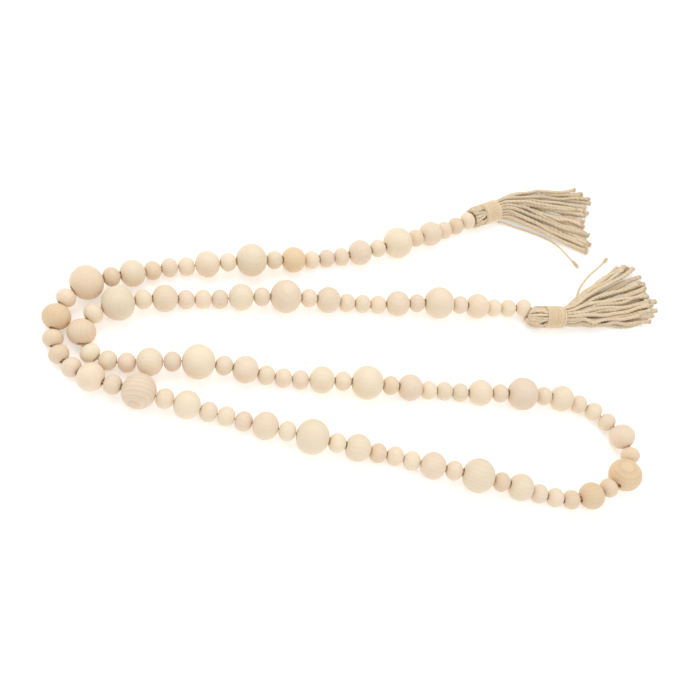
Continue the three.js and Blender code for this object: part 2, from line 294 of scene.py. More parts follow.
@dataclass(frozen=True)
class WoodFinish:
    """Bare sanded wood with soft growth rings, fine fibres and pores.

    Each bead carries its place in its own block of wood, in millimetres, as the attribute
    "grain", with the fibres along Z, its tone as "tone" and how clear its rings are as "figure".
    In the fields a grain is how fine a pattern is along each axis, and a share is its strength.
    """

    name: str = "bare_wood"
    ring_scale: float = 0.13
    ring_edge: float = 1.6  # how sharply a ring darkens towards its edge
    ring_share: float = 0.24
    fibre_grain: Triple = (2.2, 2.2, 0.11)
    pore_grain: Triple = (5.0, 5.0, 0.4)
    pore_share: float = 0.3  # against that of the fibres
    streak_middle: float = 0.57  # of the fibres and the pores together
    streak_share: float = 0.46
    patch_scale: float = 0.11
    patch_middle: float = 0.40
    patch_share: float = 0.5
    late_wood: Colour = (0.90, 0.80, 0.69, 1.0)
    roughness: float = 0.5
    roughness_range: float = 0.16
    specular: float = 0.35
    bump: float = 0.00006
    bump_pores: float = 0.5  # against that of the fibres
    bump_strength: float = 0.5

    def material(self) -> bpy.types.Material:
        """Builds the material.

        Returns:
            The material.
        """
        shader = Shader(self.name)
        grain = shader.attribute("grain", "Vector")
        tone = shader.attribute("tone", "Color")
        rings = shader.node(
            "TexWave",
            {"Vector": grain, "Scale": self.ring_scale, "Distortion": 3.0, "Detail": 2.0,
             "Detail Scale": 0.3, "Detail Roughness": 0.5},
            wave_type="RINGS", rings_direction="Z", wave_profile="SAW",
        ).outputs["Fac"]
        fibres = shader.noise(shader.stretched(grain, self.fibre_grain), 1.0, 6.0)
        pores = shader.noise(shader.stretched(grain, self.pore_grain), 1.0, 2.0)
        patches = shader.noise(grain, self.patch_scale, 2.0)
        figure = shader.math("MULTIPLY", shader.attribute("figure"), self.ring_share)
        late = shader.math("MULTIPLY", shader.math("POWER", rings, self.ring_edge), figure)
        both = shader.math("ADD", fibres, shader.math("MULTIPLY", pores, self.pore_share))
        streaks = shader.math("SUBTRACT", both, self.streak_middle)
        streaks = shader.math("MULTIPLY", streaks, self.streak_share)
        cloud = shader.math("SUBTRACT", patches, self.patch_middle)
        cloud = shader.math("MULTIPLY", cloud, self.patch_share)
        share = shader.math("ADD", shader.math("ADD", late, streaks), cloud)
        clear = shader.node("Clamp", {"Value": share}).outputs[0]
        dark = shader.blend(1.0, tone, self.late_wood, "MULTIPLY")
        rough = shader.math("MULTIPLY", fibres, self.roughness_range)
        shader.feed(shader.surface, {
            "Base Color": shader.blend(clear, tone, dark),
            "Roughness": shader.math("ADD", rough, self.roughness),
            "Specular IOR Level": self.specular,
        })
        deep = shader.math("MULTIPLY", pores, self.bump_pores)
        shader.bump(shader.math("ADD", fibres, deep), self.bump, self.bump_strength)
        return shader.material


@dataclass(frozen=True)
class JuteFinish:
    """Matt jute fibres that follow the plies of a yarn.

    Each yarn carries its place along and across itself, in millimetres, as the attribute
    "fibre", how proud a point stands as "proud", which sets the painted shade in the grooves
    between the plies, and its own shade as "shade".
    In the fields a grain is how fine a pattern is along each axis.
    """

    name: str
    light: Colour = paint(237, 218, 188)
    middle: Colour = paint(221, 197, 162)
    # dark is both the colour of the fibres' own flecks and the painted shade in the grooves
    dark: Colour = paint(168, 134, 94)
    fibre_grain: Triple = (4.5, 4.5, 0.35)
    fibre_range: Pair = (0.33, 0.67)
    fleck_grain: Triple = (3.0, 3.0, 0.25)
    fleck_range: Pair = (0.62, 0.74)
    fleck_share: float = 0.45
    shade_grain: Triple = (0.8, 0.8, 0.12)
    shade_share: float = 0.24
    groove_shade: float = 0.5  # painted shade: how dark the grooves between the plies are painted
    groove_shade_range: Pair = (0.35, 0.85)  # how proud the plies stand where the painted groove shade is full and where it ends
    roughness: float = 0.88
    sheen: float = 0.25
    specular: float = 0.2
    bump: float = 0.0001
    bump_strength: float = 0.8

    def material(self) -> bpy.types.Material:
        """Builds the material.

        Returns:
            The material.
        """
        shader = Shader(self.name)
        place = shader.attribute("fibre", "Vector")
        grain = shader.noise(shader.stretched(place, self.fibre_grain), 1.0, 4.0)
        broad = shader.noise(shader.stretched(place, self.shade_grain), 1.0, 2.0)
        fleck = shader.noise(shader.stretched(place, self.fleck_grain), 1.0, 2.0)
        fine = shader.ranged(grain, self.fibre_range)
        body = shader.blend(fine, self.middle, self.light)
        flecks = shader.ranged(fleck, self.fleck_range, (0.0, self.fleck_share))
        body = shader.blend(flecks, body, self.dark)
        # Painted shade: the plies are darkened where they dip into the grooves between them.
        groove_shade = shader.ranged(shader.attribute("proud"), self.groove_shade_range, (self.groove_shade, 0.0))
        body = shader.blend(groove_shade, body, self.dark)
        uneven = shader.math("MULTIPLY", broad, self.shade_share)
        level = shader.math("ADD", uneven, shader.attribute("shade"))
        grey = shader.node("CombineColor", {0: level, 1: level, 2: level}).outputs[0]
        shader.feed(shader.surface, {
            "Base Color": shader.blend(1.0, body, grey, "MULTIPLY"),
            "Roughness": self.roughness,
            "Sheen Weight": self.sheen,
            "Specular IOR Level": self.specular,
        })
        shader.bump(fine, self.bump, self.bump_strength)
        return shader.material


@dataclass(frozen=True)
class FloorFinish:
    """A matt white surface that glows a little, so that shadows stay faint."""

    name: str = "pale_floor"
    colour: Colour = (0.93, 0.93, 0.93, 1.0)
    mottle_scale: float = 9.0
    mottle: Colour = (0.985, 0.985, 0.985, 1.0)
    roughness: float = 0.9
    glow: float = 0.28

    def material(self) -> bpy.types.Material:
        """Builds the material.

        Returns:
            The material.
        """
        shader = Shader(self.name)
        place = shader.node("TexCoord").outputs["Object"]
        mottled = shader.noise(place, self.mottle_scale)
        darker = shader.blend(1.0, self.colour, self.mottle, "MULTIPLY")
        shader.feed(shader.surface, {
            "Base Color": shader.blend(mottled, darker, self.colour),
            "Roughness": self.roughness,
            "Emission Color": (1.0, 1.0, 1.0, 1.0),
            "Emission Strength": self.glow,
        })
        return shader.material


def finished(bm: bmesh.types.BMesh, name: str, material: bpy.types.Material) -> bpy.types.Object:
    """Turns a bmesh into a smooth piece that rides on the garland's one body.

    Args:
        bm: the shape, in place. It is freed.
        name: the piece's name.
        material: its finish.

    Returns:
        The piece.
    """
    for face in bm.faces:
        face.smooth = True
    mesh = bpy.data.meshes.new(name)
    bm.to_mesh(mesh)
    bm.free()
    mesh.materials.append(material)
    piece = bpy.data.objects.new(name, mesh)
    bpy.context.scene.collection.objects.link(piece)
    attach(piece, ROOT)
    return piece


# Beads


@dataclass(frozen=True)
class BeadSize:
    """A bead's radius, its half length along the hole, and how finely it is turned."""

    radius: float
    half: float
    segments: int
    arcs: int

    def rim(self, radius: float) -> float:
        """How far from its middle the bead's surface has this radius."""
        return self.half * math.sqrt(1 - (radius / self.radius) ** 2)


class BeadKind(Enum):
    """The three sizes of bead on the string."""

    SMALL = BeadSize(0.00575, 0.00509, 36, 16)
    MEDIUM = BeadSize(0.0080, 0.00745, 44, 20)
    LARGE = BeadSize(0.0100, 0.00944, 52, 24)


@dataclass(frozen=True)
class Bead:
    """One turned bead in its place on the string."""

    kind: BeadKind
    centre: Vector
    axis: Vector
    hole: float = 0.00175  # radius, a little less than in the solids, so that the beads meet
    rounding: float = 0.0004  # of the rim at each end of the hole
    rounding_steps: int = 3
    lean: float = 0.35  # how far the fibres usually lean from the hole, in radians
    from_pith: Pair = (12, 60)  # millimetres from the middle of the tree
    trunk: float = 900  # millimetres of trunk that the beads are cut from
    shades: Pair = (0.96, 1.04)

    def turning(self) -> Matrix:
        """The turn that brings local Z onto the bead's hole, with local X level."""
        level = UP.cross(self.axis).normalized()
        return Matrix((level, self.axis.cross(level), self.axis)).transposed()

    def turned(self) -> bmesh.types.BMesh:
        """Turns the bead's profile round its hole.

        Returns:
            The bead with sharp rims, round the origin, with its hole along Z.
        """
        size = self.kind.value
        bm = bmesh.new()
        profile = []
        start = math.asin(self.hole / size.radius)
        for n in range(size.arcs + 1):
            angle = mix(start, math.pi - start, n / size.arcs)
            at = (size.radius * math.sin(angle), 0, -size.half * math.cos(angle))
            profile.append(bm.verts.new(at))
        edges = [bm.edges.new(pair) for pair in zip(profile, profile[1:])]
        edges.append(bm.edges.new((profile[-1], profile[0])))
        bmesh.ops.spin(
            bm, geom=[*profile, *edges], cent=(0, 0, 0), axis=(0, 0, 1), angle=2 * math.pi,
            steps=size.segments, use_merge=True,
        )
        bmesh.ops.remove_doubles(bm, verts=bm.verts, dist=MERGE)
        bmesh.ops.recalc_face_normals(bm, faces=bm.faces)
        return bm

    def is_rim(self, edge: bmesh.types.BMEdge) -> bool:
        """Whether an edge of the turned bead runs round one end of its hole."""
        a, b = (vert.co for vert in edge.verts)
        off = (a.xy.length - self.hole, b.xy.length - self.hole, a.z - b.z)
        return all(abs(length) < NEAR for length in off)

    def shape(self, rng: random.Random, tone: WoodTone, figure: float) -> bmesh.types.BMesh:
        """Turns the bead, rounds its rims, marks its grain and sets it in place.

        Args:
            rng: where its block of wood comes from.
            tone: the wood's tone.
            figure: how clear its growth rings are.

        Returns:
            The bead as a closed shape, with a flat spot where it rests.
        """
        bm = self.turned()
        bmesh.ops.bevel(
            bm, geom=[edge for edge in bm.edges if self.is_rim(edge)], offset=self.rounding,
            segments=self.rounding_steps, profile=0.5, affect="EDGES", material=-1,
        )
        self.mark_grain(bm, rng, tone, figure)
        place = Matrix.Translation(self.centre) @ self.turning().to_4x4()
        bmesh.ops.transform(bm, matrix=place, verts=bm.verts)
        for vert in bm.verts:
            vert.co.z = max(0.0, vert.co.z)
        return bm

    def mark_grain(self, bm: bmesh.types.BMesh, rng: random.Random, tone: WoodTone,
                   figure: float) -> None:
        """Gives each point its place in a block of wood, with fibres near the hole's direction.

        Args:
            bm: the bead before it is set in place.
            rng: where in the block the bead was cut, and how far its fibres lean.
            tone: the wood's tone.
            figure: how clear its growth rings are.
        """
        grain = bm.verts.layers.float_vector.new("grain")
        colour = bm.verts.layers.float_color.new("tone")
        clear = bm.verts.layers.float.new("figure")
        lean = Matrix.Rotation(rng.gauss(0, self.lean), 3, "X")
        roll = Matrix.Rotation(rng.uniform(0, 2 * math.pi), 3, "Z")
        away = rng.uniform(*self.from_pith)
        cut = Vector((away, 0, rng.uniform(0, self.trunk)))
        lighter = rng.uniform(*self.shades)
        shade = [min(1.0, c * lighter) for c in tone.value[:3]]
        for vert in bm.verts:
            vert[grain] = lean @ (roll @ (vert.co * MM)) + cut
            vert[colour] = (*shade, 1.0)
            vert[clear] = figure


@dataclass(frozen=True)
class BeadString:
    """The order of the beads, and where each one lies along the route."""

    large_count: int = 13
    bore: float = 0.0021  # radius of the hole in the solids, which sets how close the beads lie
    flat: float = 0.0003  # depth of the flat spot that a bead rests on
    gap: float = 0.0003
    held: float = 0.0086  # centre of a small bead held between a medium and a large one
    first: float = 0.0066  # centre of the bead at the first tassel
    last: float = 0.0075  # centre of the bead at the second tassel
    walk_points: int = 4000
    passes: int = 5  # in which the spacing is fitted to the beads' tilt

    def order(self) -> list[BeadKind]:
        """Repeats the pattern of the string.

        Returns:
            The beads' kinds from the first tassel to the second.
        """
        small, medium, large = BeadKind
        end = [small, small, small, medium, small]
        between = [small, medium, small, small, small, medium, small]
        kinds = [*end, large]
        for _ in range(1, self.large_count):
            kinds += [*between, large]
        return kinds + end[::-1]

    def height(self, kinds: Sequence[BeadKind], i: int) -> float:
        """Works out how high the centre of a bead lies.

        Args:
            kinds: the beads in order.
            i: which of them.

        Returns:
            The height.
        """
        if i == 0:
            return self.first
        if i == len(kinds) - 1:
            return self.last
        beside = (kinds[i - 1], kinds[i + 1])
        if kinds[i] is BeadKind.SMALL and BeadKind.LARGE in beside:
            return self.held
        return kinds[i].value.radius - self.flat

    def reach(self, size: BeadSize, angle: float) -> float:
        """Works out how far a bead reaches towards its neighbour.

        Args:
            size: the bead's size.
            angle: how far its hole is turned away from the neighbour.

        Returns:
            The distance from its centre.
        """
        round_reach = math.hypot(size.radius * math.sin(angle), size.half * math.cos(angle))
        if size.radius ** 2 * math.sin(angle) / round_reach > self.bore:
            return round_reach
        return size.rim(self.bore) * math.cos(angle) + self.bore * math.sin(angle)

    def centres(self, kinds: Sequence[BeadKind], line: Sequence[Vector],
                distances: Sequence[float]) -> list[Vector]:
        """Walks the line and sets each bead at its distance from the last.

        Args:
            kinds: the beads in order.
            line: close plan points.
            distances: from each bead to the next.

        Returns:
            The beads' centres.
        """
        centres = [Vector((line[0].x, line[0].y, self.height(kinds, 0)))]
        k = 1
        for i in range(1, len(kinds)):
            back, z = centres[-1], self.height(kinds, i)
            run = math.sqrt(distances[i - 1] ** 2 - (z - back.z) ** 2)
            while k < len(line) - 1 and (line[k].xy - back.xy).length < run:
                k += 1
            near = (line[k - 1].xy - back.xy).length
            far = (line[k].xy - back.xy).length
            at = line[k - 1].lerp(line[k], (run - near) / (far - near))
            centres.append(Vector((at.x, at.y, z)))
        return centres

    def place(self) -> list[Bead]:
        """Lays all the beads, touching, with each one turned along the string.

        Returns:
            The beads from the first tassel to the second.
        """
        kinds = self.order()
        line = spline([Vector((x, y, 0)) for x, y in ROUTE], self.walk_points)
        turns = [(0.0, 0.0)] * (len(kinds) - 1)
        for _ in range(self.passes):
            distances = [
                self.reach(kinds[i].value, a) + self.reach(kinds[i + 1].value, b) + self.gap
                for i, (a, b) in enumerate(turns)
            ]
            centres = self.centres(kinds, line, distances)
            around = [centres[0], *centres, centres[-1]]
            axes = [(around[i + 2] - around[i]).normalized() for i in range(len(centres))]
            links = [b - a for a, b in zip(centres, centres[1:])]
            turns = [(axes[i].angle(link), axes[i + 1].angle(link)) for i, link in enumerate(links)]
        return [Bead(*parts) for parts in zip(kinds, centres, axes)]


@dataclass(frozen=True)
class Beads:
    """All the turned beads, each a piece of its own with its own wood."""

    string: list[Bead]
    finish: WoodFinish
    honey: frozenset[int] = frozenset({11, 23, 51, 53})
    sand: frozenset[int] = frozenset({1, 4, 18, 20, 21, 24, 25, 40, 46, 50, 52, 54, 68, 83})
    figured: frozenset[int] = frozenset({29, 53})
    clear_figure: float = 2.4
    figures: Pair = (0.3, 1.3)
    pale_shares: tuple[int, ...] = (5, 6, 4)
    seed: int = 11

    def nodes(self) -> list[str]:
        """Finds the frame's node that holds each bead.

        Returns:
            The nodes' names in the order of the string.
        """
        kinds = [bead.kind for bead in self.string]
        names = []
        large_sets, mediums, in_threes = 0, 0, 0
        for i, kind in enumerate(kinds):
            beside = kinds[max(0, i - 1):i + 2]
            if kind is BeadKind.MEDIUM:
                mediums += 1
                names.append(f"medium_bead_{mediums:02d}")
            elif BeadKind.LARGE in beside:
                large_sets += beside[-1] is BeadKind.LARGE
                names.append(f"large_set_{large_sets:02d}")
            else:
                names.append(f"small_set_{in_threes // 3 + 1:02d}")
                in_threes += 1
        return names

    def tone(self, i: int, rng: random.Random) -> WoodTone:
        """Picks the tone of a bead. The darker ones have a fixed place.

        Args:
            i: the bead's place on the string.
            rng: for the pale ones.

        Returns:
            The tone.
        """
        if i in self.honey:
            return WoodTone.HONEY
        if i in self.sand:
            return WoodTone.SAND
        return rng.choices((WoodTone.CREAM, WoodTone.PEACH, WoodTone.ROSE), self.pale_shares)[0]

    def build(self) -> list[bpy.types.Object]:
        """Makes every bead and hides the frame's plain ones.

        Returns:
            The beads in the order of the string.
        """
        material = self.finish.material()
        rng = random.Random(self.seed)
        counts = Counter()
        pieces = []
        for i, (bead, node) in enumerate(zip(self.string, self.nodes())):
            counts[bead.kind] += 1
            name = f"bead_{bead.kind.name.lower()}_{counts[bead.kind]:02d}"
            figure = self.clear_figure if i in self.figured else rng.uniform(*self.figures)
            piece = finished(bead.shape(rng, self.tone(i, rng), figure), name, material)
            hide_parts(node)
            pieces.append(piece)
        return pieces


# Yarns


@dataclass(frozen=True)
class Yarn:
    """A yarn of soft plies that press into each other."""

    radius: float
    plies: int
    sides: int
    turn: float  # length of one turn of the plies
    ply: float = 0.6  # radius of a ply against the yarn's

    def straight(self, steps: int, turns: float, closed: bool = True) -> bpy.types.Mesh:
        """Makes the yarn straight along +Z, with a cross section at each whole number.

        A point keeps its place in the first cross section, which is where its fibres start,
        as the attribute "fibre", and its share of the yarn's radius as "proud".

        Args:
            steps: how many stretches it has.
            turns: how often the plies turn in all.
            closed: whether its ends are closed.

        Returns:
            A mesh for bending, which is no piece of the scene.
        """
        fat = self.radius * self.ply
        bm = bmesh.new()
        fibre = bm.verts.layers.float_vector.new("fibre")
        proud = bm.verts.layers.float.new("proud")
        for ply in range(self.plies):
            angle = 2 * math.pi * ply / self.plies
            out = Vector((math.cos(angle), math.sin(angle), 0)) * (self.radius - fat)
            made = bmesh.ops.create_circle(
                bm, cap_ends=closed, segments=self.sides, radius=fat,
                matrix=Matrix.Translation(out),
            )
            ring = made["verts"]
            for vert in ring:
                vert[fibre] = vert.co * MM
                # how proud a point stands, which the finish uses to paint shade into the grooves
                vert[proud] = vert.co.length / self.radius
            geom = ring[0].link_faces[:] or [*ring, *{e for v in ring for e in v.link_edges}]
            bmesh.ops.spin(
                bm, geom=geom, cent=(0, 0, 0), axis=(0, 0, 1), dvec=(0, 0, 1),
                angle=2 * math.pi * turns, steps=steps,
            )
        bmesh.ops.recalc_face_normals(bm, faces=bm.faces)
        mesh = bpy.data.meshes.new("straight_yarn")
        bm.to_mesh(mesh)
        bm.free()
        return mesh


def full_width(_: float) -> float:
    """The width of a yarn that keeps its own radius all along."""
    return 1.0


class Bundle:
    """Yarns and hairs that are laid one by one into one piece.

    The hairs at a cut end fray, and those along a yarn are fuzz. A lean is how far a hair
    stands away from its yarn, and a width is against that of a plain hair.
    """

    hair_yarn: Yarn = Yarn(0.00005, 1, 3, 1.0, 1.0)
    hair_steps: int = 4
    hair_points: int = 8
    hair_curl: float = 0.30
    hair_taper: float = 0.75  # share of its width that a hair loses up to its tip
    hair_shade: float = 1.1
    root_share: float = 0.9  # of the yarn's radius, within which hairs stand
    fray_buried: float = 0.2  # share of a frayed hair's length that is inside its yarn
    fray_lean: Pair = (0.05, 0.50)
    fray_lengths: Pair = (0.45, 1.0)
    fray_width: float = 1.9
    fuzz_lean: Pair = (0.2, 0.8)
    fuzz_lengths: Pair = (0.0015, 0.004)
    fuzz_width: float = 0.7
    grain_cut: float = 500  # millimetres of pattern that the yarns start in

    def __init__(self, seed: int) -> None:
        """Starts an empty bundle.

        Args:
            seed: for everything uneven in it.
        """
        self.bm = bmesh.new()
        self.rng = random.Random(seed)
        self.bm.verts.layers.float_vector.new("fibre")
        self.bm.verts.layers.float.new("proud")
        self.bm.verts.layers.float.new("shade")
        self.hair = self.hair_yarn.straight(self.hair_steps, 0)

    def lay(self, straight: bpy.types.Mesh, stations: Sequence[Station],
            width: Callable[[float], float], shade: float) -> None:
        """Bends a straight yarn along a path.

        Args:
            straight: the yarn, with as many stretches as the path.
            stations: the path.
            width: how wide it is at each share of its length, against its own radius.
            shade: how light it is.
        """
        count = len(self.bm.verts)
        self.bm.from_mesh(straight)
        self.bm.verts.ensure_lookup_table()
        fibre = self.bm.verts.layers.float_vector["fibre"]
        tone = self.bm.verts.layers.float["shade"]
        steps = len(stations) - 1
        step = (stations[1].point - stations[0].point).length * MM
        cut = Vector([self.rng.uniform(0, self.grain_cut) for _ in range(3)])
        widths = [width(n / steps) for n in range(steps + 1)]
        for vert in self.bm.verts[count:]:
            x, y, z = vert.co
            n = round(z)
            at, wide = stations[n], widths[n]
            vert[fibre] += Vector((0, 0, n * step)) + cut
            vert[tone] = shade
            place = at.point + at.side * (x * wide) + at.up * (y * wide)
            vert.co = (place.x, place.y, max(0.0, place.z))

    def lay_long(self, yarn: Yarn, line: Sequence[Vector], parts: int, steps: int,
                 shade: float) -> list[Station]:
        """Args:
            yarn: the yarn.
            line: close points of its path.
            parts: how many parts it is laid in.
            steps: how many stretches each part has.
            shade: how light it is.

        Returns:
            The yarn's stations.
        """
        stations = stations_on(line, parts * steps)
        turns = round(length_of(line) / parts / yarn.turn)
        straight = yarn.straight(steps, turns, closed=False)
        for n in range(parts):
            part = stations[n * steps:(n + 1) * steps + 1]
            self.lay(straight, part, full_width, shade)
        bpy.data.meshes.remove(straight)
        return stations

    def lay_hair(self, root: Vector, way: Vector, length: float, thick: float) -> None:
        """Adds one curved hair that thins towards its tip.

        Args:
            root: where it starts.
            way: the direction in which it starts.
            length: its length.
            thick: its width at the root.
        """
        def tapered(t: float) -> float:
            """The hair's width at a share of its length."""
            return thick * (1 - self.hair_taper * t)

        curl = Vector([self.rng.gauss(0, self.hair_curl) for _ in range(3)])
        bent = (way.normalized() + curl).normalized()
        middle = root + way.normalized() * (length / 2)
        line = [root, middle, middle + bent * (length / 2)]
        stations = stations_on(spline(line, self.hair_points), self.hair_steps)
        self.lay(self.hair, stations, tapered, self.hair_shade)

    def fray(self, tip: Station, way: Vector, radius: float, hairs: int, length: float) -> None:
        """Adds a brush of hairs at the cut end of a yarn.

        Args:
            tip: the yarn's last station.
            way: the direction in which it ends.
            radius: the yarn's radius there.
            hairs: how many hairs.
            length: the longest one's length.
        """
        for _ in range(hairs):
            angle = self.rng.uniform(0, 2 * math.pi)
            out = radius * math.sqrt(self.rng.random()) * self.root_share
            across = tip.side * math.cos(angle) + tip.up * math.sin(angle)
            root = tip.point + across * out - way * (self.fray_buried * length)
            spread = way + across * self.rng.uniform(*self.fray_lean)
            own = length * self.rng.uniform(*self.fray_lengths)
            self.lay_hair(root, spread, own, self.fray_width)

    def fuzz(self, stations: Sequence[Station], radius: float, hairs: int) -> None:
        """Adds stray hairs along a yarn.

        Args:
            stations: the yarn's path.
            radius: the yarn's radius.
            hairs: how many hairs.
        """
        for _ in range(hairs):
            n = self.rng.randrange(1, len(stations) - 1)
            at = stations[n]
            angle = self.rng.uniform(0, 2 * math.pi)
            across = at.side * math.cos(angle) + at.up * math.sin(angle)
            along = (stations[n + 1].point - at.point).normalized()
            way = along + across * self.rng.uniform(*self.fuzz_lean)
            root = at.point + across * radius * self.root_share
            self.lay_hair(root, way, self.rng.uniform(*self.fuzz_lengths), self.fuzz_width)

    def finish(self, name: str, material: bpy.types.Material) -> bpy.types.Object:
        """Joins the parts of its long yarns, closes their ends and makes the bundle a piece.

        Args:
            name: the piece's name.
            material: its finish.

        Returns:
            The piece.
        """
        bmesh.ops.remove_doubles(self.bm, verts=self.bm.verts, dist=MERGE)
        bmesh.ops.holes_fill(self.bm, edges=[e for e in self.bm.edges if e.is_boundary])
        bpy.data.meshes.remove(self.hair)
        return finished(self.bm, name, material)


# Tassels

STRAND_YARN = Yarn(0.0013, 3, 7, 0.012, 0.67)


@dataclass(frozen=True)
class Neck:
    """The bound neck of a tassel, and the level axis that the whole tassel is laid on."""

    wrap_start: Pair
    heading: float
    height: float = 0.0072
    head_length: float = 0.010
    length: float = 0.0146
    root_length: float = 0.0022  # from the end of the neck to the hub of the fan

    def axis(self) -> Vector:
        """The direction from the head to the strands."""
        return heading(self.heading)

    def left(self) -> Vector:
        """The level direction across the axis."""
        return UP.cross(self.axis())

    def place(self, along: float, out: float = 0.0, angle: float = 0.0) -> Vector:
        """Finds a point round the tassel's axis.

        Args:
            along: distance from the top of the head.
            out: distance from the axis.
            angle: from straight up, in radians.

        Returns:
            The point.
        """
        start = Vector((*self.wrap_start, self.height))
        across = self.left() * math.sin(angle) + UP * math.cos(angle)
        return start + self.axis() * (along - self.head_length) + across * out


@dataclass(frozen=True)
class Folds:
    """A ring of folded yarns in a tassel's head.

    The yarns run through places that are each a distance along the axis and one from it. Those
    of the crown are counted from the top of the folds, the others from the top of the head.
    """

    count: int
    crown: tuple[Pair, ...]
    side: tuple[Pair, ...]

    def profile(self, top: float) -> list[Pair]:
        """The places in order, for folds that have their top here."""
        return [(top + along, out) for along, out in self.crown] + list(self.side)


@dataclass(frozen=True)
class Head:
    """The head of a tassel: yarns folded over the end of the string and down into the neck."""

    neck: Neck
    bead: Bead
    overhang: float  # how far the folds reach past the top of the head
    yarn: Yarn = STRAND_YARN
    fold_top: float = 0.0010  # of the folds from the top of the head, without an overhang
    outer: Folds = Folds(
        20, ((0.0008, 0.0012), (0.0, 0.0026), (0.0006, 0.0045)),
        ((0.0030, 0.0058), (0.0054, 0.0062), (0.0076, 0.0062), (0.0091, 0.0061),
         (0.0102, 0.0057), (0.0120, 0.0048), (0.0150, 0.0046)),
    )
    core: Folds = Folds(
        11, ((0.0024, 0.0010), (0.0022, 0.0024)),
        ((0.0036, 0.0036), (0.0064, 0.0042), (0.0092, 0.0040), (0.0150, 0.0030)),
    )
    steps: int = 18
    line_points: int = 60
    turns: float = 1.6
    jitter: float = 0.16  # of a yarn round the ring, as a share of the spacing
    lean: float = 0.08  # of a yarn round the axis from each place to the next, in radians
    uneven: float = 0.00012
    shades: Pair = (0.84, 0.98)
    full: float = 0.88  # width in the head
    squeezed: float = 0.74  # width under the wrap
    squeeze: Pair = (0.45, 0.2)  # where a yarn narrows, and over how much
    fuzzy: tuple[int, int] = (2, 12)  # the stations between which stray hairs stand
    hairs: int = 3

    def clear_of_bead(self, point: Vector) -> Vector:
        """Moves a point of a yarn's path out of the bead that nests in the head.

        Args:
            point: the point.

        Returns:
            The same point, or the nearest one that is clear.
        """
        away = point - self.bead.centre
        least = self.bead.kind.value.radius + self.yarn.radius
        return point if away.length > least else self.bead.centre + away.normalized() * least

    def width(self, t: float) -> float:
        """How wide a yarn is at a share of its length."""
        start, over = self.squeeze
        return mix(self.full, self.squeezed, smooth((t - start) / over))

    def build(self, name: str, seed: int, material: bpy.types.Material) -> bpy.types.Object:
        """Folds the yarns.

        Args:
            name: the piece's name.
            seed: for everything uneven.
            material: the finish.

        Returns:
            The head.
        """
        bundle = Bundle(seed)
        rng = bundle.rng
        straight = self.yarn.straight(self.steps, self.turns)
        for folds in (self.outer, self.core):
            profile = folds.profile(self.fold_top - self.overhang)
            for n in range(folds.count):
                angle = 2 * math.pi * (n + rng.uniform(-self.jitter, self.jitter)) / folds.count
                lean = rng.gauss(0, self.lean)
                points = [
                    self.neck.place(along, out + rng.gauss(0, self.uneven), angle + lean * k)
                    for k, (along, out) in enumerate(profile)
                ]
                line = spline([self.clear_of_bead(point) for point in points], self.line_points)
                stations = stations_on(line, self.steps)
                bundle.lay(straight, stations, self.width, rng.uniform(*self.shades))
                bundle.fuzz(stations[slice(*self.fuzzy)], self.yarn.radius, self.hairs)
        bpy.data.meshes.remove(straight)
        return bundle.finish(name, material)


class Settled(NamedTuple):
    """How the strands of one layer lie."""

    rows: tuple[int, ...]  # of the neck, counted from below
    height: float
    shorter: float
    stray: float  # of the tips, as a share of the fan


class Layer(Enum):
    """The layers that a tassel's strands settle into."""

    BOTTOM = Settled((0, 1, 2), 0.0013, 0.0, 0.015)
    MIDDLE = Settled((3, 4), 0.0034, 0.001, 0.05)
    TOP = Settled((5, 6), 0.0049, 0.003, 0.10)


class Strand(NamedTuple):
    """One strand of a tassel: its place in the neck and in the fan."""

    side: float
    rise: float
    share: float
    layer: Layer


